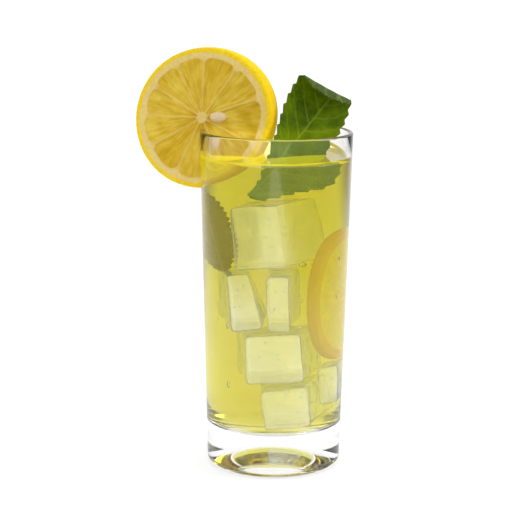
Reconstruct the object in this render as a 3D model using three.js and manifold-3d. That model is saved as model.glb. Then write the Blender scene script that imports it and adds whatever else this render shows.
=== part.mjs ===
// A tall glass of lemonade with a lemon wheel hung on its rim and a mint leaf standing in the drink.
// Lengths are in millimetres, angles in degrees, +Z is up and the front of the glass faces -Y.
import * as THREE from "three";
import { mergeVertices } from "three/addons/utils/BufferGeometryUtils.js";
import Module from "manifold-3d";

const wasm = await Module();
wasm.setup();

// Glass: a straight tapered tumbler with a thick, domed base
const GLASS_HEIGHT = 151;
const RIM_RADIUS = 34;
const BASE_RADIUS = 30;
const WALL_AT_RIM = 2.0;
const WALL_AT_FLOOR = 2.6;
const FLOOR_HEIGHT = 18.4;
const FLOOR_CORNER = 6;
const FOOT_ROUND = 3;
const PUNT_RADIUS = 20;
const PUNT_HEIGHT = 10;
const PUNT_LIP = 1;

// Drink: fills the bowl and creeps a little up the wall
const DRINK_LEVEL = 139;
const MENISCUS_HEIGHT = 1.2;
const MENISCUS_WIDTH = 2.8;

// Clearance left between a piece and its neighbour
const GAP = 0.3;

// Lemon wheel: hung on the left of the rim, its right edge turned toward the front
const WHEEL_CENTRE = new THREE.Vector3(-31.6, 9.5, 155.5);
const WHEEL_TURN = 18;
const WHEEL_LEAN = 6;
const WHEEL_FRONT_RADIUS = 31.2;
const WHEEL_BACK_RADIUS = 31.6;
const WHEEL_THICKNESS = 10.4;
const PITH_INNER_RADIUS = 26.2;
const CORE_RADIUS = 2.2;
const PULP_DEPTH = 0.7;
const MEMBRANE_ANGLES = [20, 55, 90, 120, 150, 180, 210, 245, 295, 335];
const SEEDS = [
  { across: 7.6, up: 0.4, size: [3.9, 2.3, 1.5] },
  { across: 6.6, up: -12.8, size: [2.1, 3.0, 1.3] },
];

// Mint leaf: a broad toothed blade with its tip folded forward
const LEAF_ORIGIN = new THREE.Vector3(4.2, -2.9, 141.35);
const LEAF_TURN = 25;
const LEAF_LEAN = 12;
const LEAF_TILT = 40.3;
const LEAF_LENGTH = 69;
const LEAF_SUNK_LENGTH = 24.5;
const LEAF_LEFT_WIDTH = 18.5;
const LEAF_RIGHT_WIDTH = 15;
const LEAF_HEEL_WIDTH = 6;
const LEAF_THICKNESS = 0.7;
const LEAF_TEETH = 15;
const TOOTH_DEPTH = 1.2;
const LEAF_CUP = 0.006;
const LEAF_RIPPLE = 0.5;
const STALK_HALF_WIDTH = 0.9;
const FOLD_AT = 59;
const FOLD_SKEW = 0.335;
const FOLD_RADIUS = 1.6;
const FOLD_ANGLE = 130;

// Facets
const GLASS_TURNS = 64;
const WHEEL_TURNS = 72;
const LEAF_STEPS_ALONG = 60;
const LEAF_STEPS_ACROSS = 8;

const radians = THREE.MathUtils.degToRad;
const lerp = THREE.MathUtils.lerp;

// Points of an arc in the (radius, height) plane
function arcPoints(centreRadius, centreHeight, arcRadius, fromAngle, toAngle, steps) {
  const points = [];
  for (let i = 0; i <= steps; i += 1) {
    const angle = radians(lerp(fromAngle, toAngle, i / steps));
    const radius = centreRadius + arcRadius * Math.cos(angle);
    points.push(new THREE.Vector2(Math.max(0, radius), centreHeight + arcRadius * Math.sin(angle)));
  }
  return points;
}

// Outer and inner radius of the glass wall at a height
function outerRadius(height) {
  return lerp(BASE_RADIUS, RIM_RADIUS, height / GLASS_HEIGHT);
}

function innerRadius(height) {
  const share = (height - FLOOR_HEIGHT) / (GLASS_HEIGHT - FLOOR_HEIGHT);
  return outerRadius(height) - lerp(WALL_AT_FLOOR, WALL_AT_RIM, share);
}

// A profile of (radius, height) points turned about the vertical axis
function turned(profile, turns) {
  const geometry = new THREE.LatheGeometry(profile, turns);
  geometry.rotateX(Math.PI / 2);
  return geometry;
}

// Exact solid of a closed geometry, and back again
function toSolid(geometry) {
  const bare = geometry.clone();
  bare.deleteAttribute("normal");
  bare.deleteAttribute("uv");
  const welded = mergeVertices(bare, 1e-4);
  const vertProperties = new Float32Array(welded.attributes.position.array);
  const triVerts = new Uint32Array(welded.index.array);
  const mesh = new wasm.Mesh({ numProp: 3, vertProperties, triVerts });
  mesh.merge();
  return new wasm.Manifold(mesh);
}

function toGeometry(solid) {
  const mesh = solid.getMesh();
  const geometry = new THREE.BufferGeometry();
  geometry.setAttribute("position", new THREE.BufferAttribute(mesh.vertProperties, 3));
  geometry.setIndex(new THREE.BufferAttribute(mesh.triVerts, 1));
  geometry.computeVertexNormals();
  return geometry;
}

// Glass body: punt, standing ring, outer wall, rounded lip, bowl
function glassSolid() {
  const puntCurve = (PUNT_RADIUS ** 2 + PUNT_HEIGHT ** 2) / (2 * PUNT_HEIGHT);
  const puntEdge = THREE.MathUtils.radToDeg(Math.asin(PUNT_RADIUS / puntCurve));
  const lipRadius = WALL_AT_RIM / 2;
  const cornerHeight = FLOOR_HEIGHT + FLOOR_CORNER;
  const cornerCentre = innerRadius(cornerHeight) - FLOOR_CORNER;
  const profile = [
    ...arcPoints(0, PUNT_HEIGHT - puntCurve, puntCurve, 90, 90 - puntEdge, 8),
    new THREE.Vector2(PUNT_RADIUS + PUNT_LIP, 0),
    ...arcPoints(outerRadius(FOOT_ROUND) - FOOT_ROUND, FOOT_ROUND, FOOT_ROUND, -90, 0, 5),
    ...arcPoints(RIM_RADIUS - lipRadius, GLASS_HEIGHT - lipRadius, lipRadius, 0, 180, 6),
    ...arcPoints(cornerCentre, cornerHeight, FLOOR_CORNER, 0, -90, 5),
    new THREE.Vector2(0, FLOOR_HEIGHT),
  ];
  return toSolid(turned(profile, GLASS_TURNS));
}

// Closed ring that follows the wall with clearance on both sides, used to cut the slot of the wheel
function wallEnvelope() {
  const low = FLOOR_HEIGHT + FLOOR_CORNER;
  const high = GLASS_HEIGHT + GAP;
  const profile = [
    new THREE.Vector2(innerRadius(low) - GAP, low),
    new THREE.Vector2(outerRadius(low) + GAP, low),
    new THREE.Vector2(outerRadius(high) + GAP, high),
    new THREE.Vector2(innerRadius(high) - GAP, high),
    new THREE.Vector2(innerRadius(low) - GAP, low),
  ];
  return toSolid(turned(profile, GLASS_TURNS));
}

// Drink before the garnish is cut out of it
function drinkSolid() {
  const cornerHeight = FLOOR_HEIGHT + FLOOR_CORNER;
  const cornerCentre = innerRadius(cornerHeight) - FLOOR_CORNER;
  const wallTop = innerRadius(DRINK_LEVEL) - GAP;
  const profile = [
    new THREE.Vector2(0, FLOOR_HEIGHT + GAP),
    ...arcPoints(cornerCentre, cornerHeight, FLOOR_CORNER - GAP, -90, 0, 5),
    new THREE.Vector2(innerRadius(DRINK_LEVEL + MENISCUS_HEIGHT) - GAP, DRINK_LEVEL + MENISCUS_HEIGHT),
    new THREE.Vector2(wallTop - 0.25 * MENISCUS_WIDTH, DRINK_LEVEL + 0.4 * MENISCUS_HEIGHT),
    new THREE.Vector2(wallTop - MENISCUS_WIDTH, DRINK_LEVEL),
    new THREE.Vector2(0, DRINK_LEVEL),
  ];
  return toSolid(turned(profile, GLASS_TURNS));
}

// Depth of the cut face below the rind: pulp sunk between raised membranes round a core
function faceDepth(radius, angle) {
  if (radius > PITH_INNER_RADIUS - 0.01) {
    return 0;
  }
  if (radius < CORE_RADIUS + 0.01) {
    return 0.3 * PULP_DEPTH;
  }
  const onMembrane = MEMBRANE_ANGLES.some((membrane) => {
    const turn = THREE.MathUtils.euclideanModulo(angle - membrane + 180, 360) - 180;
    return Math.abs(turn) < 1;
  });
  return onMembrane ? 0.2 * PULP_DEPTH : PULP_DEPTH;
}

// Lemon wheel lying flat about the Z axis, front face up, X across and Y up the face
function wheelGeometry() {
  const half = WHEEL_THICKNESS / 2;
  const faceRadii = [0, CORE_RADIUS, 3.6, 24.6, PITH_INNER_RADIUS];
  const profile = [
    ...faceRadii.map((radius) => new THREE.Vector2(radius, -half)),
    new THREE.Vector2(WHEEL_BACK_RADIUS - 0.6, -half),
    new THREE.Vector2(WHEEL_BACK_RADIUS, -half + 0.7),
    new THREE.Vector2(WHEEL_FRONT_RADIUS + 0.1, half - 0.6),
    new THREE.Vector2(WHEEL_FRONT_RADIUS - 0.5, half),
    ...[...faceRadii].reverse().map((radius) => new THREE.Vector2(radius, half)),
  ];
  const geometry = turned(profile, WHEEL_TURNS);
  const position = geometry.attributes.position;
  for (let i = 0; i < position.count; i += 1) {
    const x = position.getX(i);
    const y = position.getY(i);
    const z = position.getZ(i);
    const radius = Math.hypot(x, y);
    const turn = Math.atan2(y, x);
    const oval = 0.012 * Math.cos(2 * turn) + 0.026 * Math.sin(2 * turn);
    const uneven = 1 + oval + 0.006 * Math.cos(3 * turn - 0.6);
    const depth = Math.abs(z) > half - 0.01 ? faceDepth(radius, THREE.MathUtils.radToDeg(turn)) : 0;
    position.setXYZ(i, x * uneven, y * uneven, z - Math.sign(z) * depth);
  }
  return geometry;
}

// Plain disc that encloses the wheel with clearance
function wheelRoom() {
  const half = WHEEL_THICKNESS / 2 + GAP;
  const uneven = 1.036;
  const profile = [
    new THREE.Vector2(0, -half),
    new THREE.Vector2(WHEEL_BACK_RADIUS * uneven + GAP, -half),
    new THREE.Vector2(WHEEL_FRONT_RADIUS * uneven + GAP, half),
    new THREE.Vector2(0, half),
  ];
  return toSolid(turned(profile, WHEEL_TURNS).applyMatrix4(wheelPlace()));
}

// Place of the wheel on the rim
function wheelPlace() {
  const lean = new THREE.Matrix4().makeRotationX(radians(90 - WHEEL_LEAN));
  const turn = new THREE.Matrix4().makeRotationZ(radians(-WHEEL_TURN));
  return new THREE.Matrix4().setPosition(WHEEL_CENTRE).multiply(turn).multiply(lean);
}

function seedGeometry(seed) {
  const geometry = new THREE.SphereGeometry(1, 12, 8);
  geometry.scale(...seed.size);
  geometry.translate(seed.across, seed.up, WHEEL_THICKNESS / 2 - 0.6 * PULP_DEPTH);
  return geometry;
}

// Wheel with its seeds, slotted over the wall
function wheelSolid() {
  const place = wheelPlace();
  const wheel = toSolid(wheelGeometry().applyMatrix4(place));
  const seeds = SEEDS.map((seed) => toSolid(seedGeometry(seed).applyMatrix4(place)));
  const whole = seeds.reduce((sum, seed) => sum.add(seed), wheel);
  return whole.subtract(wallEnvelope());
}

// Half width of the leaf at a share of its length, toothed along the margin.
// The left half is widest toward the tip, the right half toward the middle.
function leafHalfWidth(share, side) {
  const [widest, rise, fall] = side > 0 ? [LEAF_LEFT_WIDTH, 1.5, 0.4] : [LEAF_RIGHT_WIDTH, 0.5, 0.45];
  const peak = rise / (rise + fall);
  const most = Math.pow(peak, rise) * Math.pow(1 - peak, fall);
  const heel = side > 0 ? 0 : LEAF_HEEL_WIDTH * Math.exp(-(((share - 0.36) / 0.13) ** 2));
  const blade = (widest * Math.pow(share, rise) * Math.pow(1 - share, fall)) / most + heel;
  const saw = (share * LEAF_TEETH) % 1;
  const tooth = TOOTH_DEPTH * (saw < 0.7 ? saw / 0.7 : (1 - saw) / 0.3);
  return Math.max(STALK_HALF_WIDTH, blade + tooth - TOOTH_DEPTH);
}

// Point of the leaf's middle surface: across from -1 to 1, share of the length from 0 to 1
function leafPoint(across, share, grow) {
  const halfWidth = leafHalfWidth(share, across) + grow;
  const w = across * halfWidth;
  const s = lerp(-grow, LEAF_LENGTH + grow, share);
  const foldSlope = Math.hypot(1, FOLD_SKEW);
  const past = (s - FOLD_AT + FOLD_SKEW * w) / foldSlope;
  const ripple = LEAF_RIPPLE * across ** 2 * Math.sin(share * 17 + across);
  let forward = LEAF_CUP * w * w + ripple;
  let drawnBack = 0;
  if (past > 0) {
    const most = radians(FOLD_ANGLE);
    const bend = Math.min(past / FOLD_RADIUS, most);
    const straight = Math.max(0, past - FOLD_RADIUS * most);
    forward += FOLD_RADIUS * (1 - Math.cos(bend)) + straight * Math.sin(most);
    drawnBack = past - FOLD_RADIUS * Math.sin(bend) - straight * Math.cos(most);
  }
  const along = s - LEAF_SUNK_LENGTH - drawnBack / foldSlope;
  const aside = w - (drawnBack * FOLD_SKEW) / foldSlope;
  return new THREE.Vector3(-aside, along, forward);
}

// Unit normal of the leaf's middle surface
function leafNormal(across, share) {
  const step = 1e-3;
  const a = leafPoint(Math.max(-1, across - step), share, 0);
  const b = leafPoint(Math.min(1, across + step), share, 0);
  const c = leafPoint(across, Math.max(0, share - step), 0);
  const d = leafPoint(across, Math.min(1, share + step), 0);
  return b.sub(a).cross(d.sub(c)).normalize().negate();
}

// Leaf lying flat, tip along Y and upper face up, grown by a clearance on every side.
// Both faces carry the same triangles.
function leafGeometry(grow) {
  const grid = new THREE.PlaneGeometry(2, 1, LEAF_STEPS_ACROSS, LEAF_STEPS_ALONG);
  const sheet = grid.attributes.position;
  const count = sheet.count;
  const positions = new Float32Array(count * 6);
  for (let i = 0; i < count; i += 1) {
    const across = -sheet.getX(i);
    const share = 0.5 + sheet.getY(i);
    const point = leafPoint(across, share, grow);
    const offset = leafNormal(across, share).multiplyScalar(LEAF_THICKNESS / 2 + grow);
    point.clone().add(offset).toArray(positions, 3 * i);
    point.clone().sub(offset).toArray(positions, 3 * (count + i));
  }
  const faces = Array.from(grid.index.array);
  const index = [];
  for (let i = 0; i < faces.length; i += 3) {
    const [a, b, c] = faces.slice(i, i + 3);
    index.push(a, b, c, count + a, count + c, count + b);
  }
  const row = LEAF_STEPS_ACROSS + 1;
  const rim = [];
  for (let j = 0; j < LEAF_STEPS_ALONG; j += 1) {
    rim.push(j * row);
  }
  for (let i = 0; i < LEAF_STEPS_ACROSS; i += 1) {
    rim.push(LEAF_STEPS_ALONG * row + i);
  }
  for (let j = LEAF_STEPS_ALONG; j > 0; j -= 1) {
    rim.push(j * row + LEAF_STEPS_ACROSS);
  }
  for (let i = LEAF_STEPS_ACROSS; i > 0; i -= 1) {
    rim.push(i);
  }
  rim.forEach((a, i) => {
    const b = rim[(i + 1) % rim.length];
    index.push(a, count + a, b, b, count + a, count + b);
  });
  const geometry = new THREE.BufferGeometry();
  geometry.setAttribute("position", new THREE.BufferAttribute(positions, 3));
  geometry.setIndex(index);
  return geometry;
}

// Place of the leaf in the glass
function leafPlace() {
  const lean = new THREE.Matrix4().makeRotationX(radians(-LEAF_LEAN));
  const turn = new THREE.Matrix4().makeRotationZ(radians(LEAF_TURN));
  const stand = new THREE.Matrix4().makeRotationX(radians(90));
  const tilt = new THREE.Matrix4().makeRotationZ(radians(-LEAF_TILT));
  const place = new THREE.Matrix4().setPosition(LEAF_ORIGIN);
  return place.multiply(lean).multiply(turn).multiply(stand).multiply(tilt);
}

function leafSolid(grow) {
  return toSolid(leafGeometry(grow).applyMatrix4(leafPlace()));
}

function piece(name, solid, material) {
  const mesh = new THREE.Mesh(toGeometry(solid), new THREE.MeshStandardMaterial(material));
  mesh.name = name;
  return mesh;
}

// The whole part, stood with the middle of its bounding box over the origin
function buildPart() {
  const glass = glassSolid();
  const wheel = wheelSolid();
  const leaf = leafSolid(0);
  const drink = drinkSolid().subtract(wheelRoom()).subtract(leafSolid(GAP));
  const group = new THREE.Group();
  group.name = "glass_of_lemonade";
  group.add(
    piece("glass", glass, {
      color: 0xeef2f0,
      roughness: 0.03,
      metalness: 0,
      transparent: true,
      opacity: 0.25,
    }),
    piece("lemonade", drink, { color: 0xd6ca41, roughness: 0.05, metalness: 0 }),
    piece("lemon_wheel", wheel, { color: 0xe0bb3c, roughness: 0.4, metalness: 0 }),
    piece("mint_leaf", leaf, { color: 0x567008, roughness: 0.45, metalness: 0 }),
  );
  const box = new THREE.Box3().setFromObject(group);
  const middle = box.getCenter(new THREE.Vector3());
  group.position.set(-middle.x, -middle.y, -box.min.z);
  return group;
}

export default buildPart();
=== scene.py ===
"""A tall glass of lemonade with ice, a lemon wheel on the rim and mint, on a grey studio floor that a painted
glow makes pale.
"""

import math
import random
from dataclasses import dataclass

import bmesh
import bpy
from mathutils import Euler, Matrix, Vector, noise


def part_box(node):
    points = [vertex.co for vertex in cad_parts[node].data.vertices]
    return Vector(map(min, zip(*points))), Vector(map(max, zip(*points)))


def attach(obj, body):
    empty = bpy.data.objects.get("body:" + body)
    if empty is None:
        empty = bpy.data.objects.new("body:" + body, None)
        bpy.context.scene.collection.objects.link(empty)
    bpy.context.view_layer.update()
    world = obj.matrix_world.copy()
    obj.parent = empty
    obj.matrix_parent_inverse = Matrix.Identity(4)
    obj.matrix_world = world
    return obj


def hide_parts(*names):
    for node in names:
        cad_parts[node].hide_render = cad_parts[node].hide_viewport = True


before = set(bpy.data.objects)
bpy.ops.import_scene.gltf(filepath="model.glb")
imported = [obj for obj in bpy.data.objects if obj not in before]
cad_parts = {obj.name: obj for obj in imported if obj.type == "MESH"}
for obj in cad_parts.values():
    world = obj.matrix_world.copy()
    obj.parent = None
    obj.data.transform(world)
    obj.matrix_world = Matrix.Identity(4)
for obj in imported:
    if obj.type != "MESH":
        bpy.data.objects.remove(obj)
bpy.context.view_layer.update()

# Lengths are in millimetres from the foot of the glass's axis and angles in degrees, unless a name differs
MM = 0.001

# Glass
GLASS_HEIGHT = 151.0
RIM_RADIUS = 34.0
BASE_RADIUS = 30.0
WALL_AT_RIM = 2.0
WALL_AT_FLOOR = 2.6
FLOOR_HEIGHT = 18.4
FLOOR_CORNER = 6.0
FOOT_ROUND = 3.0
PUNT_RADIUS = 20.0
PUNT_HEIGHT = 10.0
PUNT_LIP = 1.0
GLASS_TURNS = 192

# Drink, which reaches just into the wall so that no air shows between them
DRINK_LEVEL = 139.0
MENISCUS_HEIGHT = 1.5
MENISCUS_WIDTH = 3.2
WETTING = 0.2

# Lemon wheel on the rim
WHEEL_CENTRE = Vector((-31.6, 9.5, 155.5))
WHEEL_TURN = 18.0
WHEEL_LEAN = 6.0
WHEEL_FRONT_RADIUS = 31.2
WHEEL_BACK_RADIUS = 31.6
WHEEL_THICKNESS = 10.4
WHEEL_MEMBRANES = (20, 55, 90, 120, 150, 180, 210, 245, 295, 335)

# Half slice of lemon sunk in the drink
HALF_CENTRE = Vector((22.5, 10.8, 77.0))
HALF_TURN = 74.0
HALF_RADIUS = 30.0
HALF_THICKNESS = 5.0
HALF_MEMBRANES = (-90, -55, -18, 20, 58, 90)
HALF_PITH_FROM = 0.85
HALF_ZEST_FROM = 0.88


@dataclass
class Seed:
    """A lemon seed on a cut face: its middle on the face and its half sizes."""

    across: float
    up: float
    half_width: float
    half_height: float
    rise: float


WHEEL_SEEDS = (Seed(7.6, 0.4, 3.9, 2.3, 1.5), Seed(6.6, -12.8, 2.1, 3.0, 1.3))


@dataclass
class Leaf:
    """A toothed leaf: its blade, its place, and where its tip folds forward, if it does."""

    length: float
    left_width: float
    right_width: float
    heel_width: float
    origin: Vector
    sunk_length: float
    turn: float
    lean: float
    tilt: float
    thickness: float = 0.7
    teeth: int = 15
    tooth_depth: float = 1.2
    cup: float = 0.006
    ripple: float = 0.5
    stalk: float = 0.9
    fold_at: float = 1000.0
    fold_skew: float = 0.335
    fold_radius: float = 1.6
    fold_angle: float = 130.0
    left_rise: float = 1.5
    left_fall: float = 0.4
    right_rise: float = 0.5
    right_fall: float = 0.45


TOP_LEAF = Leaf(
    length=69.0,
    left_width=18.5,
    right_width=15.0,
    heel_width=6.0,
    origin=Vector((4.2, -2.9, 141.35)),
    sunk_length=24.5,
    turn=25.0,
    lean=12.0,
    tilt=40.3,
    fold_at=59.0,
)
SUNK_LEAF = Leaf(
    length=36.0,
    left_width=9.0,
    right_width=8.0,
    heel_width=0.0,
    origin=Vector((-20.5, 5.0, 106.0)),
    sunk_length=18.0,
    turn=-30.0,
    lean=0.0,
    tilt=-14.0,
    left_rise=0.5,
)


@dataclass
class Ice:
    """A block of ice: its middle, its sizes, its turn about the vertical and its leans."""

    centre: tuple
    size: tuple
    turn: float
    lean_x: float
    lean_y: float
    taper: float
    seed: int


ICE_BLOCKS = (
    Ice((-1.3, -0.7, 106.5), (19.5, 36.0, 27.5), -21.0, 0.0, -7.0, 0.04, 1),
    Ice((-11.7, -2.0, 77.5), (11.0, 34.0, 24.0), -5.0, 0.0, -9.0, 0.2, 2),
    Ice((2.0, -3.0, 77.5), (9.0, 38.0, 24.0), -3.0, 0.0, -1.0, 0.0, 3),
    Ice((0.3, -2.0, 52.0), (22.5, 38.0, 21.0), -2.0, -2.0, -4.0, 0.04, 4),
    Ice((5.5, -3.0, 29.7), (18.5, 34.0, 17.5), -3.0, 1.0, -8.0, 0.03, 5),
    Ice((20.5, 0.0, 38.0), (9.0, 18.0, 17.0), 4.0, 0.0, -4.0, 0.03, 6),
)
ICE_CORNER = 1.5
ICE_STEPS = 16
ICE_SWELL = 0.45
ICE_RIPPLE = 0.12
ICE_OVERLAP = 0.12
ICE_BUBBLES = 7


@dataclass
class Bubble:
    """A bubble of air in the drink: its middle, its radius and its height in radii."""

    centre: tuple
    radius: float
    squash: float


BUBBLES = (
    Bubble((10.7, -22.0, 95.7), 1.8, 0.65),
    Bubble((24.4, -12.0, 79.0), 0.8, 1.0),
    Bubble((25.0, -10.0, 96.0), 0.7, 1.2),
    Bubble((10.3, -22.0, 79.5), 0.9, 0.9),
    Bubble((10.0, -21.0, 67.5), 1.0, 0.8),
    Bubble((-19.0, -17.0, 67.0), 0.8, 1.8),
    Bubble((-18.5, -16.0, 40.0), 0.8, 2.0),
)
SMALL_BUBBLES = 12

# Camera, fitted to the rim and base ellipses of the view
CAMERA_PLACE = Vector((-10.0, -750.0, 240.03))
CAMERA_YAW = 0.00667
CAMERA_PITCH = 0.19629
CAMERA_ROLL = 0.0091
CAMERA_LENS_MM = 116.22
SENSOR_MM = 36.0

# Studio light: brighter behind and above the glass than in front of it. The floor's glow is painted light, a
# wedge-shaped pool that opens away from the camera and leaves the floor outside it grey.
FRONT_LIGHT = 0.2
BACK_LIGHT = 1.0
TOP_LIGHT = 1.2
FLOOR_GLOW = 0.68
FLOOR_REACH = 12000.0
POOL_START_M = 0.9
POOL_SLOPE = (0.26, 0.46)


@dataclass
class SoftBox:
    """A round soft light: its place, what it is aimed at, its size in metres, its power and its spread."""

    name: str
    place: tuple
    target: tuple
    size_m: float
    watts: float
    spread: float


SOFT_BOXES = (
    SoftBox("key", (-450, -900, 420), (0, 0, 130), size_m=0.8, watts=0.8, spread=70),
    SoftBox("fill", (700, -120, 420), (0, 0, 140), size_m=0.6, watts=0.45, spread=60),
)


def axis_foot():
    """Foot of the glass's axis in the row frame, in metres."""
    low, high = (Vector(corner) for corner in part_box("glass"))
    middle = (low + high) / 2
    return Vector((middle.x, middle.y, low.z))


AXIS_FOOT = axis_foot()


def lerp(start, end, share):
    return start + (end - start) * share


def smooth(low, high, value):
    """0 below low, 1 above high and a soft step between."""
    share = min(1.0, max(0.0, (value - low) / (high - low)))
    return share * share * (3 - 2 * share)


def linear(red, green, blue):
    """Linear colour, with alpha, of an 8-bit screen colour."""

    def channel(value):
        value /= 255
        return value / 12.92 if value <= 0.04045 else ((value + 0.055) / 1.055) ** 2.4

    return (channel(red), channel(green), channel(blue), 1.0)


# Meshes


class Shape:
    """Vertices in millimetres with faces and named values for each vertex."""

    def __init__(self):
        self.verts = []
        self.faces = []
        self.values = {}

    def add(self, verts, faces):
        start = len(self.verts)
        self.verts.extend(Vector(v) for v in verts)
        self.faces.extend(tuple(start + i for i in face) for face in faces)

    def piece(self, name, material, smooth_faces=True):
        """A mesh object of the shape, standing on the glass's axis."""
        mesh = bpy.data.meshes.new(name)
        mesh.from_pydata([AXIS_FOOT + v * MM for v in self.verts], [], self.faces)
        for key, values in self.values.items():
            if isinstance(values[0], float):
                layer = mesh.attributes.new(key, "FLOAT", "POINT")
                layer.data.foreach_set("value", values)
            else:
                layer = mesh.attributes.new(key, "FLOAT_VECTOR", "POINT")
                layer.data.foreach_set("vector", [part for value in values for part in value])
        mesh.polygons.foreach_set("use_smooth", [smooth_faces] * len(mesh.polygons))
        mesh.materials.append(material)
        mesh.update()
        obj = bpy.data.objects.new(name, mesh)
        bpy.context.scene.collection.objects.link(obj)
        return obj


def face_outward(obj):
    """Turns every face of a closed mesh outward."""
    work = bmesh.new()
    work.from_mesh(obj.data)
    bmesh.ops.recalc_face_normals(work, faces=work.faces)
    work.to_mesh(obj.data)
    work.free()


def arc(centre_radius, centre_height, radius, start, end, steps):
    """Points of an arc in the (radius, height) plane."""
    points = []
    for i in range(steps + 1):
        angle = math.radians(lerp(start, end, i / steps))
        from_axis = max(0.0, centre_radius + radius * math.cos(angle))
        points.append((from_axis, centre_height + radius * math.sin(angle)))
    return points


def straight(start, end, steps):
    """Points between two profile points, without the ends."""
    return [(lerp(start[0], end[0], i / steps), lerp(start[1], end[1], i / steps)) for i in range(1, steps)]


def turned(profile, turns):
    """Vertices and faces of a (radius, height) profile turned about the axis."""
    verts = []
    rings = []
    for radius, height in profile:
        count = 1 if radius < 1e-6 else turns
        rings.append(range(len(verts), len(verts) + count))
        for i in range(count):
            angle = 2 * math.pi * i / turns
            verts.append((radius * math.cos(angle), radius * math.sin(angle), height))
    faces = []
    for low, high in zip(rings, rings[1:]):
        for i in range(turns):
            j = (i + 1) % turns
            if len(low) == 1:
                faces.append((low[0], high[j], high[i]))
            elif len(high) == 1:
                faces.append((low[i], low[j], high[0]))
            else:
                faces.append((low[i], low[j], high[j], high[i]))
    return verts, faces


# Glass and drink


def outer_radius(height):
    return lerp(BASE_RADIUS, RIM_RADIUS, height / GLASS_HEIGHT)


def inner_radius(height):
    share = (height - FLOOR_HEIGHT) / (GLASS_HEIGHT - FLOOR_HEIGHT)
    return outer_radius(height) - lerp(WALL_AT_FLOOR, WALL_AT_RIM, share)


def cover(spot):
    """Shares by which a point lies inside the glass, and under the drink's surface."""
    inside = smooth(-0.5, 2.0, outer_radius(spot.z) - math.hypot(spot.x, spot.y))
    shelter = inside * (1 - smooth(GLASS_HEIGHT - 2.0, GLASS_HEIGHT + 3.0, spot.z))
    sunk = inside * (1 - smooth(DRINK_LEVEL - 1.5, DRINK_LEVEL, spot.z))
    return shelter, sunk


def corner_centre():
    """Middle of the rounding between the wall and the floor of the bowl."""
    height = FLOOR_HEIGHT + FLOOR_CORNER
    return inner_radius(height) - FLOOR_CORNER, height


def glass_shape():
    punt_curve = (PUNT_RADIUS**2 + PUNT_HEIGHT**2) / (2 * PUNT_HEIGHT)
    punt_edge = math.degrees(math.asin(PUNT_RADIUS / punt_curve))
    lip = WALL_AT_RIM / 2
    foot_radius = outer_radius(FOOT_ROUND) - FOOT_ROUND
    corner_radius, corner_height = corner_centre()
    profile = arc(0, PUNT_HEIGHT - punt_curve, punt_curve, 90, 90 - punt_edge, 24)
    profile += [(PUNT_RADIUS + 0.3 * PUNT_LIP, 0.25), (PUNT_RADIUS + PUNT_LIP, 0.0)]
    profile += arc(foot_radius, FOOT_ROUND, FOOT_ROUND, -90, 0, 10)
    lip_arc = arc(RIM_RADIUS - lip, GLASS_HEIGHT - lip, lip, 0, 180, 12)
    floor_arc = arc(corner_radius, corner_height, FLOOR_CORNER, 0, -90, 12)
    profile += straight(profile[-1], lip_arc[0], 12) + lip_arc
    profile += straight(lip_arc[-1], floor_arc[0], 12) + floor_arc
    profile += straight(floor_arc[-1], (0.0, FLOOR_HEIGHT), 4) + [(0.0, FLOOR_HEIGHT)]
    shape = Shape()
    shape.add(*turned(profile, GLASS_TURNS))
    return shape


def drink_profile():
    corner_radius, corner_height = corner_centre()
    floor = FLOOR_HEIGHT - WETTING
    floor_arc = arc(corner_radius, corner_height, FLOOR_CORNER + WETTING, -90, 0, 12)
    profile = [(0.0, floor)] + straight((0.0, floor), floor_arc[0], 4) + floor_arc
    top = DRINK_LEVEL + MENISCUS_HEIGHT
    below = DRINK_LEVEL - 0.4
    wall_below = (inner_radius(below) + WETTING, below)
    wall_top = (inner_radius(top) + WETTING, top)
    profile += straight(floor_arc[-1], wall_below, 12) + [wall_below, wall_top]
    reach = inner_radius(DRINK_LEVEL) - 0.05
    for i in range(9):
        share = i / 8
        height = DRINK_LEVEL + MENISCUS_HEIGHT * (1 - share) ** 2.6
        profile.append((reach - MENISCUS_WIDTH * share, height))
    profile += [(20.0, DRINK_LEVEL), (10.0, DRINK_LEVEL), (0.0, DRINK_LEVEL)]
    return profile


def ice_block(ice, grow):
    """Vertices and faces of a softly rounded block, grown by an amount on every side."""
    half = Vector(ice.size) / 2
    core = Vector(max(0.1, h - ICE_CORNER) for h in half)
    place = Matrix.Translation(Vector(ice.centre)) @ Euler(
        (math.radians(ice.lean_x), math.radians(ice.lean_y), math.radians(ice.turn))
    ).to_matrix().to_4x4()
    work = bmesh.new()
    bmesh.ops.create_cube(work, size=2.0)
    bmesh.ops.subdivide_edges(work, edges=work.edges, cuts=ICE_STEPS, use_grid_fill=True)
    drift = Vector((7.3, 3.1, 5.7)) * ice.seed
    for vert in work.verts:
        spot = Vector(math.sin(0.5 * math.pi * c) * h for c, h in zip(vert.co, half))
        inner = Vector(max(-c, min(c, s)) for c, s in zip(core, spot))
        outward = (spot - inner).normalized()
        swell = ICE_SWELL * noise.noise(spot * 0.11 + drift) + ICE_RIPPLE * noise.noise(spot * 0.4 + drift)
        narrowing = 1 - ice.taper * spot.z / half.z
        spot = inner + outward * (ICE_CORNER + swell + grow)
        vert.co = place @ Vector((spot.x * narrowing, spot.y * narrowing, spot.z))
    bmesh.ops.recalc_face_normals(work, faces=work.faces)
    work.verts.index_update()
    verts = [vert.co.copy() for vert in work.verts]
    faces = [tuple(vert.index for vert in face.verts) for face in work.faces]
    work.free()
    return verts, faces


def bubble(centre, radius, squash=1.0):
    """Vertices and faces of a small rounded hollow."""
    rows = 8
    profile = [
        (radius * math.sin(math.pi * i / rows), -radius * squash * math.cos(math.pi * i / rows))
        for i in range(rows + 1)
    ]
    verts, faces = turned([(max(0.0, r) if 0 < i < rows else 0.0, h) for i, (r, h) in enumerate(profile)], 12)
    return [Vector(v) + Vector(centre) for v in verts], faces


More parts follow.
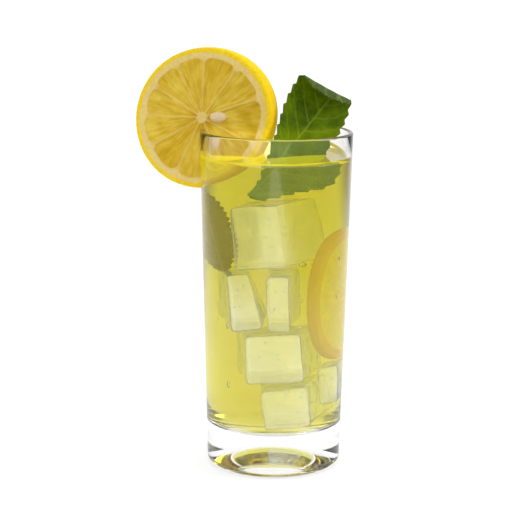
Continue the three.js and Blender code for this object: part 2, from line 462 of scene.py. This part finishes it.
def inside_out(verts, faces):
    return verts, [tuple(reversed(face)) for face in faces]


def drink_shape():
    """The drink with hollows for the ice and the bubbles, its top surface marked."""
    shape = Shape()
    shape.add(*turned(drink_profile(), GLASS_TURNS))
    for ice in ICE_BLOCKS:
        shape.add(*inside_out(*ice_block(ice, -ICE_OVERLAP)))
    draw = random.Random(11)
    for air in BUBBLES:
        shape.add(*inside_out(*bubble(air.centre, air.radius, air.squash)))
    for _ in range(SMALL_BUBBLES):
        height = draw.uniform(30, 128)
        turn = math.radians(draw.uniform(-85, 5) if draw.random() < 0.7 else draw.uniform(180, 260))
        radius = inner_radius(height) - draw.uniform(1.2, 2.4)
        spot = (radius * math.cos(turn), radius * math.sin(turn), height)
        shape.add(*inside_out(*bubble(spot, draw.uniform(0.15, 0.4))))
    shape.values["surface"] = [float(vert.z > DRINK_LEVEL - 0.1) for vert in shape.verts]
    return shape


def ice_shape(ice):
    """The block with a few air bubbles frozen into it."""
    shape = Shape()
    shape.add(*ice_block(ice, ICE_OVERLAP))
    draw = random.Random(100 + ice.seed)
    place = Matrix.Translation(Vector(ice.centre)) @ Matrix.Rotation(math.radians(ice.turn), 4, "Z")
    for _ in range(ICE_BUBBLES):
        spot = Vector(draw.uniform(-0.3, 0.3) * s for s in ice.size)
        shape.add(*inside_out(*bubble(place @ spot, draw.uniform(0.2, 0.5), draw.uniform(0.8, 2.0))))
    return shape


# Lemon


def uneven(turn):
    """Share by which the wheel's outline departs from a circle."""
    oval = 0.012 * math.cos(2 * turn) + 0.026 * math.sin(2 * turn)
    return 1 + oval + 0.006 * math.cos(3 * turn - 0.6)


def rounded_least(a, b, radius):
    """Smaller of two distances, with the corner between them rounded off."""
    if a < radius and b < radius:
        return radius - math.hypot(radius - a, radius - b)
    return min(a, b)


@dataclass
class Cut:
    """A cut face of lemon: its rim radius, its membranes, its seeds, and where pith and zest begin."""

    rim: float
    membranes: tuple
    seeds: tuple = ()
    pith: float = 0.862
    zest: float = 0.938


def cut_surface(cut, radius, turn):
    """Height of the cut face and its share of pulp, rind and seed at a point."""
    degrees = math.degrees(turn)
    apart = min(abs((degrees - m + 180) % 360 - 180) for m in cut.membranes)
    from_membrane = radius * math.radians(apart) - 0.12 - 0.006 * radius
    wander = noise.noise(Vector((math.cos(turn) * 3, math.sin(turn) * 3, 4.0)))
    from_pith = cut.pith * cut.rim + 0.7 * wander - radius
    from_core = radius - 2.3 - 0.4 * wander
    inside = min(rounded_least(from_membrane, from_pith, 3.4), from_core)
    pulp = smooth(-0.1, 0.5, inside)
    zest = smooth(-0.35, 0.35, radius - cut.zest * cut.rim - 0.25 * wander)
    grain = noise.noise(Vector((math.cos(turn) * 9, math.sin(turn) * 9, 0.16 * radius)))
    fine = noise.noise(Vector((math.cos(turn) * 24, math.sin(turn) * 24, 0.3 * radius)))
    height = -0.75 * pulp + pulp * (0.28 * grain + 0.12 * fine) - 0.35 * smooth(2.4, 1.0, radius)
    height -= 0.5 * smooth(0.955, 1.0, radius / cut.rim) ** 2
    seed_share = 0.0
    for seed in cut.seeds:
        x = (radius * math.cos(turn) - seed.across) / seed.half_width
        y = (radius * math.sin(turn) - seed.up) / seed.half_height
        dome = 1 - x * x - y * y
        if dome > 0:
            height = max(height, -0.5 + (seed.rise + 0.5) * math.sqrt(dome))
            seed_share = max(seed_share, smooth(0.0, 0.12, dome))
    tint = max(pulp, 0.6 * smooth(0.0, 2.5, from_pith) * smooth(0.0, 1.0, from_core))
    return height, tint, zest, seed_share


def slice_shape(cut, back_rim, thickness, outline, start, end, place):
    """A slice of lemon over a range of angles; a full turn closes on itself, less leaves cut ends."""
    full = end - start > 359
    turns = 384 if full else 224
    front_rows = 96
    side_rows = 14
    back_rows = 40
    half = thickness / 2
    back_cut = Cut(back_rim, cut.membranes, pith=cut.pith, zest=cut.zest)
    shape = Shape()
    keys = ("pulp", "zest", "seed", "side", "shelter", "sunk")
    shape.values = {key: [] for key in keys}
    shape.values["polar"] = []

    def put(radius, turn, depth, pulp, zest, seed, side):
        grown = radius * outline(turn)
        local = Vector((grown * math.cos(turn), grown * math.sin(turn), depth))
        vert = place @ local
        shape.verts.append(vert)
        for key, value in zip(keys, (pulp, zest, seed, side, *cover(vert))):
            shape.values[key].append(float(value))
        shape.values["polar"].append((math.cos(turn), math.sin(turn), radius / cut.rim))

    columns = turns if full else turns + 1
    rows = []
    for row in range(front_rows + side_rows + back_rows + 1):
        first = len(shape.verts)
        for column in range(columns):
            turn = math.radians(lerp(start, end, column / turns))
            if row <= front_rows:
                radius = cut.rim * (row / front_rows) if row else 0.02
                height, pulp, zest, seed = cut_surface(cut, radius, turn)
                put(radius, turn, half + height, pulp, zest, seed, 0)
            elif row < front_rows + side_rows:
                share = (row - front_rows) / side_rows
                bulge = 0.35 * math.sin(math.pi * share)
                radius = lerp(cut.rim, back_rim, share) + bulge
                pores = noise.noise(Vector((math.cos(turn) * 40, math.sin(turn) * 40, share * 8)))
                put(radius + 0.06 * pores, turn, lerp(half - 0.5, -half + 0.5, share), 0, 1, 0, 1)
            else:
                share = (row - front_rows - side_rows) / back_rows
                radius = back_rim * (1 - share) if share < 1 else 0.02
                height, pulp, zest, seed = cut_surface(back_cut, radius, turn)
                put(radius, turn, -half - height, pulp, zest, seed, 0)
        rows.append(range(first, first + columns))
    for low, high in zip(rows, rows[1:]):
        for i in range(turns):
            j = (i + 1) % columns
            shape.faces.append((low[i], high[i], high[j], low[j]))
    shape.faces.append(tuple(rows[0]))
    shape.faces.append(tuple(reversed(rows[-1])))
    if not full:
        shape.faces.append(tuple(row[0] for row in reversed(rows)))
        shape.faces.append(tuple(row[-1] for row in rows))
    return shape


def wheel_place():
    lean = Matrix.Rotation(math.radians(90 - WHEEL_LEAN), 4, "X")
    turn = Matrix.Rotation(math.radians(-WHEEL_TURN), 4, "Z")
    return Matrix.Translation(WHEEL_CENTRE) @ turn @ lean


def wall_envelope():
    """Closed ring just inside the wall, so that the fruit pressed on it shows no gap."""
    low = 100.0
    high = GLASS_HEIGHT - WETTING
    profile = [
        (inner_radius(low) + WETTING, low),
        (outer_radius(low) - WETTING, low),
        (outer_radius(high) - WETTING, high),
        (inner_radius(high) + WETTING, high),
        (inner_radius(low) + WETTING, low),
    ]
    shape = Shape()
    verts, faces = turned(profile, GLASS_TURNS)
    count = GLASS_TURNS
    last = 4 * count
    shape.add(verts[:last], [tuple(i - last if i >= last else i for i in face) for face in faces])
    return shape


def cut_slot(wheel):
    """Cuts the slot of the wheel where the wall of the glass runs."""
    cutter = wall_envelope().piece("wall_envelope", wheel.data.materials[0])
    face_outward(cutter)
    modifier = wheel.modifiers.new("slot", "BOOLEAN")
    modifier.operation = "DIFFERENCE"
    modifier.solver = "EXACT"
    modifier.object = cutter
    depsgraph = bpy.context.evaluated_depsgraph_get()
    cut_mesh = bpy.data.meshes.new_from_object(wheel.evaluated_get(depsgraph))
    wheel.modifiers.clear()
    wheel.data = cut_mesh
    bpy.data.objects.remove(cutter)


# Mint


def leaf_half_width(leaf, share, side):
    """Half width of the blade at a share of its length, toothed along the margin."""
    if side > 0:
        widest, rise, fall = leaf.left_width, leaf.left_rise, leaf.left_fall
    else:
        widest, rise, fall = leaf.right_width, leaf.right_rise, leaf.right_fall
    peak = rise / (rise + fall)
    most = peak**rise * (1 - peak) ** fall
    heel = 0.0 if side > 0 else leaf.heel_width * math.exp(-(((share - 0.36) / 0.13) ** 2))
    blade = widest * share**rise * (1 - share) ** fall / most + heel
    saw = (share * leaf.teeth) % 1
    tooth = leaf.tooth_depth * (saw / 0.7 if saw < 0.7 else (1 - saw) / 0.3)
    return max(leaf.stalk, blade + tooth - leaf.tooth_depth)


def vein_place(share, across):
    """Position along the midrib, in spaces between side veins, of the vein through a point."""
    return 9.0 * (share - 0.2 * abs(across) ** 1.25) + (0.5 if across > 0 else 0.0)


def vein_share(share, across, width):
    """1 on a vein and 0 between veins."""
    midrib = 1 - smooth(0.15, 0.6, abs(across) * width)
    place = vein_place(share, across)
    off = abs(place - round(place))
    side = 1 - smooth(0.02, 0.11, off)
    return max(midrib, 0.6 * side * (1 - 0.5 * abs(across)))


def leaf_point(leaf, across, share):
    """Point of the leaf's middle surface, lying flat with its tip along Y and its upper face up."""
    width = leaf_half_width(leaf, share, across)
    w = across * width
    s = share * leaf.length
    slope = math.hypot(1, leaf.fold_skew)
    past = (s - leaf.fold_at + leaf.fold_skew * w) / slope
    place = vein_place(share, across)
    quilt = 0.4 * math.sin(math.pi * place) ** 2 * smooth(0.0, 0.25, abs(across)) * (1 - 0.7 * abs(across))
    forward = leaf.cup * w * w + leaf.ripple * across**2 * math.sin(share * 17 + across) + quilt
    drawn = 0.0
    if past > 0:
        most = math.radians(leaf.fold_angle)
        bend = min(past / leaf.fold_radius, most)
        rest = max(0.0, past - leaf.fold_radius * most)
        forward += leaf.fold_radius * (1 - math.cos(bend)) + rest * math.sin(most)
        drawn = past - leaf.fold_radius * math.sin(bend) - rest * math.cos(most)
    along = s - leaf.sunk_length - drawn / slope
    aside = w - drawn * leaf.fold_skew / slope
    return Vector((-aside, along, forward))


def leaf_place(leaf):
    lean = Matrix.Rotation(math.radians(-leaf.lean), 4, "X")
    turn = Matrix.Rotation(math.radians(leaf.turn), 4, "Z")
    stand = Matrix.Rotation(math.radians(90), 4, "X")
    tilt = Matrix.Rotation(math.radians(-leaf.tilt), 4, "Z")
    return Matrix.Translation(leaf.origin) @ lean @ turn @ stand @ tilt


def leaf_shape(leaf):
    """Thin toothed blade with both faces divided alike."""
    along = 208
    across = 56
    step = 1e-3
    place = leaf_place(leaf)
    grid = [(2 * i / across - 1, j / along) for j in range(along + 1) for i in range(across + 1)]
    middle = []
    offset = []
    veins = []
    for x, t in grid:
        middle.append(leaf_point(leaf, x, t))
        side = leaf_point(leaf, min(1, x + step), t) - leaf_point(leaf, max(-1, x - step), t)
        length = leaf_point(leaf, x, min(1, t + step)) - leaf_point(leaf, x, max(0, t - step))
        offset.append(length.cross(side).normalized() * leaf.thickness / 2)
        veins.append(vein_share(t, x, leaf_half_width(leaf, t, x)))
    shape = Shape()
    shape.verts = [place @ (m + o) for m, o in zip(middle, offset)]
    shape.verts += [place @ (m - o) for m, o in zip(middle, offset)]
    count = len(grid)
    shelter, sunk = (list(values) for values in zip(*(cover(vert) for vert in shape.verts)))
    under = [0.0] * count + [1.0] * count
    shape.values = {"vein": veins * 2, "under": under, "shelter": shelter, "sunk": sunk}
    row = across + 1
    for j in range(along):
        for i in range(across):
            a = j * row + i
            face = (a, a + 1, a + row + 1, a + row)
            shape.faces.append(face)
            shape.faces.append(tuple(count + k for k in reversed(face)))
    rim = [j * row for j in range(along)]
    rim += [along * row + i for i in range(across)]
    rim += [j * row + across for j in range(along, 0, -1)]
    rim += list(range(across, 0, -1))
    for a, b in zip(rim, rim[1:] + rim[:1]):
        shape.faces.append((a, b, count + b, count + a))
    return shape


# Materials

WHITE = (1.0, 1.0, 1.0, 1.0)
BLACK = (0.0, 0.0, 0.0, 1.0)
GLASS_IOR = 1.5
DRINK_IOR = 1.34
DRINK_TINT = (0.9, 0.872, 0.03, 1.0)
DRINK_DENSITY = 84.0
# Painted light: glow colour given to the drink's top surface, standing in for light caught there.
DRINK_SURFACE_GLOW = linear(146, 134, 0)
ICE_IOR = 1.31
ICE_CLEARNESS = 0.95
ICE_TINT = (0.83, 0.825, 0.92, 1.0)
# Painted light: a faint bluish glow given to the ice, though it is no lamp.
ICE_GLOW = (0.55, 0.65, 1.0, 1.0)
ICE_GLOW_STRENGTH = 0.08
FLOOR_TONES = ((0.36, 0.36, 0.36, 1.0), (0.4, 0.4, 0.4, 1.0))

# Pairs of colours between which a noise pattern varies
PULP_DARK = (linear(190, 150, 14), linear(205, 168, 30))
PULP_BRIGHT = (linear(215, 180, 54), linear(228, 202, 84))
PITH = (linear(222, 194, 112), linear(232, 208, 134))
RIND = (linear(234, 188, 0), linear(242, 202, 6))
ZEST = (linear(232, 196, 22), linear(240, 212, 48))
# Painted light: brighter copies of the pulp and rind colours for lemon under the drink.
SUNK_PULP_BRIGHTENED = (linear(216, 198, 0), linear(228, 214, 8))
SUNK_RIND_BRIGHTENED = linear(218, 190, 0)
SEED_COAT = linear(228, 204, 164)
LEAF_UPPER = (linear(62, 86, 0), linear(96, 122, 2))
LEAF_UPPER_NET = linear(120, 142, 10)
LEAF_UPPER_VEIN = linear(140, 164, 44)
LEAF_LOWER = (linear(46, 66, 4), linear(68, 90, 16))
LEAF_LOWER_NET = linear(126, 146, 72)
LEAF_LOWER_VEIN = linear(128, 148, 76)
# Painted light: brighter copies of the leaf colours for leaf under the drink, and the colours it glows with
# there and inside the glass.
SUNK_LEAF_VEIN_BRIGHTENED = linear(176, 190, 40)
TOP_LEAF_SUNK_BRIGHTENED = (linear(120, 146, 4), linear(146, 170, 10))
TOP_LEAF_GLOW = linear(90, 102, 0)
SUNK_LEAF_BRIGHTENED = (linear(140, 138, 6), linear(168, 162, 18))
SUNK_LEAF_GLOW = linear(126, 118, 0)

# Painted light: shares of a piece's own colour that it gives off as a glow though it is no lamp: lemon in
# air, in the glass, at its rind and in the drink
LEMON_GLOW = 0.07
SHELTERED_GLOW = 0.22
RIND_GLOW = 0.18
SUNK_GLOW = 0.5
SHELTERED_LEAF_GLOW = 0.5


class Shader:
    """A material with short ways to add and link nodes."""

    def __init__(self, name):
        self.material = bpy.data.materials.new(name)
        self.material.use_nodes = True
        self.tree = self.material.node_tree
        self.surface = self.tree.nodes["Principled BSDF"]
        self.output = self.tree.nodes["Material Output"]

    def put(self, socket, value):
        if isinstance(value, bpy.types.NodeSocket):
            self.tree.links.new(value, socket)
        else:
            socket.default_value = value

    def add(self, kind, inputs=None, **settings):
        node = self.tree.nodes.new(kind)
        for key, value in settings.items():
            setattr(node, key, value)
        for key, value in (inputs or {}).items():
            self.put(node.inputs[key], value)
        return node

    def finish(self, **inputs):
        for key, value in inputs.items():
            self.put(self.surface.inputs[key.replace("_", " ")], value)
        return self.material

    def value(self, name):
        return self.add("ShaderNodeAttribute", attribute_name=name).outputs["Fac"]

    def vector(self, name):
        return self.add("ShaderNodeAttribute", attribute_name=name).outputs["Vector"]

    def place(self):
        return self.add("ShaderNodeTexCoord").outputs["Object"]

    def noise(self, vector, scale, detail=3.0, roughness=0.55):
        inputs = {"Vector": vector, "Scale": scale, "Detail": detail, "Roughness": roughness}
        return self.add("ShaderNodeTexNoise", inputs).outputs["Fac"]

    def cells(self, vector, scale, feature="F1"):
        node = self.add("ShaderNodeTexVoronoi", {"Vector": vector, "Scale": scale}, feature=feature)
        return node.outputs["Distance"]

    def mix(self, share, a, b):
        node = self.add("ShaderNodeMix", data_type="RGBA")
        self.put(node.inputs[0], share)
        self.put(node.inputs[6], a)
        self.put(node.inputs[7], b)
        return node.outputs[2]

    def math(self, operation, a, b):
        return self.add("ShaderNodeMath", {0: a, 1: b}, operation=operation).outputs[0]

    def span(self, value, low, high, to_low=0.0, to_high=1.0):
        inputs = {"Value": value, "From Min": low, "From Max": high, "To Min": to_low, "To Max": to_high}
        return self.add("ShaderNodeMapRange", inputs).outputs["Result"]

    def stretch(self, vector, scale):
        node = self.add("ShaderNodeVectorMath", {0: vector, 1: scale}, operation="MULTIPLY")
        return node.outputs["Vector"]

    def scaled(self, colour, amount):
        node = self.add("ShaderNodeVectorMath", {0: colour, "Scale": amount}, operation="SCALE")
        return node.outputs["Vector"]

    def bump(self, height, strength, distance):
        inputs = {"Height": height, "Strength": strength, "Distance": distance}
        return self.add("ShaderNodeBump", inputs).outputs["Normal"]


def glass_material():
    shader = Shader("clear_glass")
    waves = shader.noise(shader.place(), 70.0, 1.0)
    return shader.finish(
        Base_Color=WHITE,
        Transmission_Weight=1.0,
        IOR=GLASS_IOR,
        Roughness=0.0,
        Normal=shader.bump(waves, 0.04, 0.001),
    )


def drink_material():
    shader = Shader("lemonade")
    absorb = shader.add("ShaderNodeVolumeAbsorption")
    absorb.inputs["Color"].default_value = DRINK_TINT
    absorb.inputs["Density"].default_value = DRINK_DENSITY
    shader.put(shader.output.inputs["Volume"], absorb.outputs["Volume"])
    waves = shader.noise(shader.place(), 120.0, 1.0)
    # Painted light: the top surface of the drink glows, though it is no lamp.
    surface_glow = shader.mix(shader.value("surface"), BLACK, DRINK_SURFACE_GLOW)
    return shader.finish(
        Base_Color=WHITE,
        Transmission_Weight=1.0,
        IOR=DRINK_IOR,
        Roughness=0.0,
        Emission_Color=surface_glow,
        Emission_Strength=1.0,
        Normal=shader.bump(waves, 0.03, 0.001),
    )


def ice_material():
    shader = Shader("ice")
    place = shader.place()
    ripples = shader.noise(place, 260.0, 3.0)
    return shader.finish(
        Base_Color=ICE_TINT,
        Transmission_Weight=ICE_CLEARNESS,
        IOR=ICE_IOR,
        Roughness=0.0,
        # Painted light: the ice glows faintly blue.
        Emission_Color=ICE_GLOW,
        Emission_Strength=ICE_GLOW_STRENGTH,
        Normal=shader.bump(ripples, 0.12, 0.001),
    )


def lemon_material():
    shader = Shader("lemon")
    sunk = shader.value("sunk")
    polar = shader.vector("polar")
    place = shader.place()
    streaks = shader.noise(shader.stretch(polar, (9.0, 9.0, 3.0)), 1.6, 4.0, 0.6)
    vesicles = shader.cells(shader.stretch(polar, (13.0, 13.0, 3.6)), 1.0)
    patches = shader.noise(place, 90.0, 2.0)
    dark = shader.mix(shader.span(patches, 0.35, 0.65), *PULP_DARK)
    bright = shader.mix(shader.span(patches, 0.35, 0.65), *PULP_BRIGHT)
    streak_tone = shader.span(streaks, 0.35, 0.7, 0.0, 0.75)
    tone = shader.math("ADD", streak_tone, shader.span(vesicles, 0.1, 0.6, 0.0, 0.45))
    pulp = shader.mix(tone, dark, bright)
    mottle = shader.noise(place, 700.0, 3.0)
    pith = shader.mix(shader.span(mottle, 0.3, 0.7), *PITH)
    rind = shader.mix(shader.span(mottle, 0.3, 0.7), *RIND)
    zest = shader.mix(shader.span(mottle, 0.3, 0.7), *ZEST)
    peel = shader.mix(shader.value("side"), zest, rind)
    colour = shader.mix(shader.value("pulp"), pith, pulp)
    # Painted light: under the drink the lemon takes brighter copies of its pulp and rind colours.
    brightened_pulp = shader.mix(tone, *SUNK_PULP_BRIGHTENED)
    colour = shader.mix(shader.math("MULTIPLY", sunk, 0.93), colour, brightened_pulp)
    peel = shader.mix(sunk, peel, SUNK_RIND_BRIGHTENED)
    colour = shader.mix(shader.value("zest"), colour, peel)
    colour = shader.mix(shader.value("seed"), colour, SEED_COAT)
    # Painted light: the lemon glows a little everywhere, more inside the glass and on its rind side, most
    # under the drink.
    shelter = shader.math("MULTIPLY", shader.value("shelter"), SHELTERED_GLOW)
    sheltered_or_rind_glow = shader.math("MAXIMUM", shelter, shader.math("MULTIPLY", shader.value("side"), RIND_GLOW))
    most = shader.math("MAXIMUM", sheltered_or_rind_glow, shader.math("MULTIPLY", sunk, SUNK_GLOW))
    glow = shader.math("ADD", LEMON_GLOW, most)
    pores = shader.cells(place, 900.0)
    relief = shader.math("ADD", shader.math("MULTIPLY", vesicles, 0.6), shader.math("MULTIPLY", pores, 0.5))
    return shader.finish(
        Base_Color=colour,
        Roughness=shader.span(streaks, 0.3, 0.7, 0.5, 0.7),
        Specular_IOR_Level=0.05,
        Subsurface_Weight=0.25,
        Subsurface_Radius=(1.0, 0.6, 0.15),
        Subsurface_Scale=0.002,
        Emission_Color=shader.scaled(colour, glow),
        Emission_Strength=1.0,
        Normal=shader.bump(relief, 0.35, 0.0006),
    )


def mint_material(name, brightened_tones, painted_glow):
    shader = Shader(name)
    place = shader.place()
    vein = shader.value("vein")
    net = shader.cells(place, 850.0, "DISTANCE_TO_EDGE")
    net_line = shader.span(net, 0.0, 0.09, 1.0, 0.0)
    patches = shader.noise(place, 130.0, 3.0)
    blade = shader.mix(shader.span(patches, 0.35, 0.65), *LEAF_UPPER)
    upper = shader.mix(shader.math("MULTIPLY", net_line, 0.15), blade, LEAF_UPPER_NET)
    upper = shader.mix(shader.math("MULTIPLY", vein, 0.65), upper, LEAF_UPPER_VEIN)
    pale = shader.mix(shader.span(patches, 0.35, 0.65), *LEAF_LOWER)
    lower = shader.mix(shader.math("MULTIPLY", net_line, 0.6), pale, LEAF_LOWER_NET)
    lower = shader.mix(vein, lower, LEAF_LOWER_VEIN)
    colour = shader.mix(shader.value("under"), upper, lower)
    # Painted light: under the drink the leaf takes brighter colours, and it glows there and inside the glass.
    brightened_colour = shader.mix(shader.span(patches, 0.35, 0.65), *brightened_tones)
    brightened_colour = shader.mix(shader.math("MULTIPLY", vein, 0.6), brightened_colour, SUNK_LEAF_VEIN_BRIGHTENED)
    colour = shader.mix(shader.value("sunk"), colour, brightened_colour)
    sheltered = shader.math("MULTIPLY", shader.value("shelter"), SHELTERED_LEAF_GLOW)
    glow = shader.mix(shader.math("MAXIMUM", shader.value("sunk"), sheltered), BLACK, painted_glow)
    relief = shader.math("SUBTRACT", shader.span(net, 0.0, 0.3), vein)
    return shader.finish(
        Base_Color=colour,
        Roughness=shader.span(patches, 0.3, 0.7, 0.42, 0.6),
        Specular_IOR_Level=0.05,
        Emission_Color=glow,
        Emission_Strength=1.0,
        Normal=shader.bump(relief, 0.4, 0.0004),
    )


def floor_material():
    shader = Shader("floor_with_painted_glow")
    grain = shader.noise(shader.place(), 60.0, 3.0)
    parts = shader.add("ShaderNodeSeparateXYZ", {"Vector": shader.place()}).outputs
    aside = shader.add("ShaderNodeMath", {0: parts["X"]}, operation="ABSOLUTE").outputs[0]
    behind = shader.math("MAXIMUM", shader.math("ADD", parts["Y"], POOL_START_M), 0.01)
    # Painted light: the floor glows only inside a wedge that opens away from the camera; outside it the floor
    # stays grey.
    pool = shader.span(shader.math("DIVIDE", aside, behind), *POOL_SLOPE, 1.0, 0.0)
    return shader.finish(
        Base_Color=shader.mix(grain, *FLOOR_TONES),
        Roughness=0.8,
        Emission_Color=WHITE,
        Emission_Strength=shader.math("MULTIPLY", pool, FLOOR_GLOW),
    )


# Studio


def floor_with_painted_glow():
    shape = Shape()
    steps = 6
    row = steps + 1
    for j in range(row):
        for i in range(row):
            x = lerp(-FLOOR_REACH, FLOOR_REACH, i / steps)
            y = lerp(-FLOOR_REACH, FLOOR_REACH, j / steps)
            shape.verts.append(Vector((x, y, -0.05)))
    for j in range(steps):
        for i in range(steps):
            a = j * row + i
            shape.faces.append((a, a + 1, a + row + 1, a + row))
    return shape.piece("floor_with_painted_glow", floor_material(), smooth_faces=False)


def soft_sky():
    """Light from all round by direction: bright behind and overhead, dimmer in front."""
    world = bpy.data.worlds.new("soft_sky")
    world.use_nodes = True
    nodes = world.node_tree.nodes
    links = world.node_tree.links
    place = nodes.new("ShaderNodeTexCoord")
    parts = nodes.new("ShaderNodeSeparateXYZ")
    links.new(place.outputs["Generated"], parts.inputs["Vector"])

    def ramp(value, low, high, to_low, to_high):
        node = nodes.new("ShaderNodeMapRange")
        node.interpolation_type = "SMOOTHSTEP"
        node.inputs["From Min"].default_value = low
        node.inputs["From Max"].default_value = high
        node.inputs["To Min"].default_value = to_low
        node.inputs["To Max"].default_value = to_high
        links.new(value, node.inputs["Value"])
        return node.outputs["Result"]

    brighter = nodes.new("ShaderNodeMath")
    brighter.operation = "MAXIMUM"
    links.new(ramp(parts.outputs["Y"], -0.35, 0.5, FRONT_LIGHT, BACK_LIGHT), brighter.inputs[0])
    links.new(ramp(parts.outputs["Z"], 0.45, 0.9, 0.0, TOP_LIGHT), brighter.inputs[1])
    links.new(brighter.outputs[0], nodes["Background"].inputs["Strength"])
    nodes["Background"].inputs["Color"].default_value = WHITE
    bpy.context.scene.world = world


def soft_light(box):
    light = bpy.data.lights.new(box.name, "AREA")
    light.shape = "DISK"
    light.size = box.size_m
    light.energy = box.watts
    light.spread = math.radians(box.spread)
    obj = bpy.data.objects.new(box.name, light)
    obj.location = AXIS_FOOT + Vector(box.place) * MM
    aim = AXIS_FOOT + Vector(box.target) * MM - obj.location
    obj.rotation_euler = aim.to_track_quat("-Z", "Y").to_euler()
    bpy.context.scene.collection.objects.link(obj)


def view_camera():
    """The camera at the photographed view."""
    camera = bpy.data.cameras.new("view")
    camera.sensor_width = SENSOR_MM
    camera.lens = CAMERA_LENS_MM
    camera.clip_start = 0.05
    camera.clip_end = 100.0
    ahead = Vector(
        (
            math.sin(CAMERA_YAW) * math.cos(CAMERA_PITCH),
            math.cos(CAMERA_YAW) * math.cos(CAMERA_PITCH),
            -math.sin(CAMERA_PITCH),
        )
    )
    level = Vector((math.cos(CAMERA_YAW), -math.sin(CAMERA_YAW), 0.0))
    upright = level.cross(ahead)
    right = math.cos(CAMERA_ROLL) * level + math.sin(CAMERA_ROLL) * upright
    up = math.cos(CAMERA_ROLL) * upright - math.sin(CAMERA_ROLL) * level
    turn = Matrix((right, up, -ahead)).transposed().to_4x4()
    obj = bpy.data.objects.new("view", camera)
    obj.matrix_world = Matrix.Translation(AXIS_FOOT + CAMERA_PLACE * MM) @ turn
    scene = bpy.context.scene
    scene.collection.objects.link(obj)
    scene.camera = obj
    scene.view_settings.view_transform = "Standard"
    scene.cycles.max_bounces = 40
    scene.cycles.transmission_bounces = 40


# The part


def settle(piece, node=None):
    """Ties a piece to the part's one body and the solid that it shows."""
    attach(piece, "root")
    if node:
        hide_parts(node)


def build_part():
    lemon = lemon_material()
    mint = mint_material("mint", TOP_LEAF_SUNK_BRIGHTENED, TOP_LEAF_GLOW)
    sunk_mint = mint_material("sunk_mint", SUNK_LEAF_BRIGHTENED, SUNK_LEAF_GLOW)
    ice = ice_material()
    settle(glass_shape().piece("clear_glass", glass_material()), "glass")
    settle(drink_shape().piece("lemonade_drink", drink_material()), "lemonade")
    for block in ICE_BLOCKS:
        settle(ice_shape(block).piece(f"ice_{block.seed}", ice))
    wheel_cut = Cut(WHEEL_FRONT_RADIUS, WHEEL_MEMBRANES, WHEEL_SEEDS)
    wheel_form = slice_shape(wheel_cut, WHEEL_BACK_RADIUS, WHEEL_THICKNESS, uneven, 0, 360, wheel_place())
    wheel = wheel_form.piece("lemon_wheel_slice", lemon)
    face_outward(wheel)
    cut_slot(wheel)
    settle(wheel, "lemon_wheel")
    half_turn = Matrix.Rotation(math.radians(HALF_TURN), 4, "Z") @ Matrix.Rotation(math.radians(90), 4, "X")
    half_place = Matrix.Translation(HALF_CENTRE) @ half_turn @ Matrix.Rotation(math.radians(180), 4, "Z")
    half_cut = Cut(HALF_RADIUS, HALF_MEMBRANES, pith=HALF_PITH_FROM, zest=HALF_ZEST_FROM)
    half_form = slice_shape(half_cut, HALF_RADIUS, HALF_THICKNESS, lambda turn: 1.0, -90, 90, half_place)
    half = half_form.piece("lemon_half_slice", lemon)
    face_outward(half)
    settle(half)
    top_leaf = leaf_shape(TOP_LEAF).piece("mint_leaf_top", mint)
    face_outward(top_leaf)
    settle(top_leaf, "mint_leaf")
    sunk_leaf = leaf_shape(SUNK_LEAF).piece("mint_leaf_sunk", sunk_mint)
    face_outward(sunk_leaf)
    settle(sunk_leaf)


build_part()
floor_with_painted_glow()
soft_sky()
for box in SOFT_BOXES:
    soft_light(box)
view_camera()
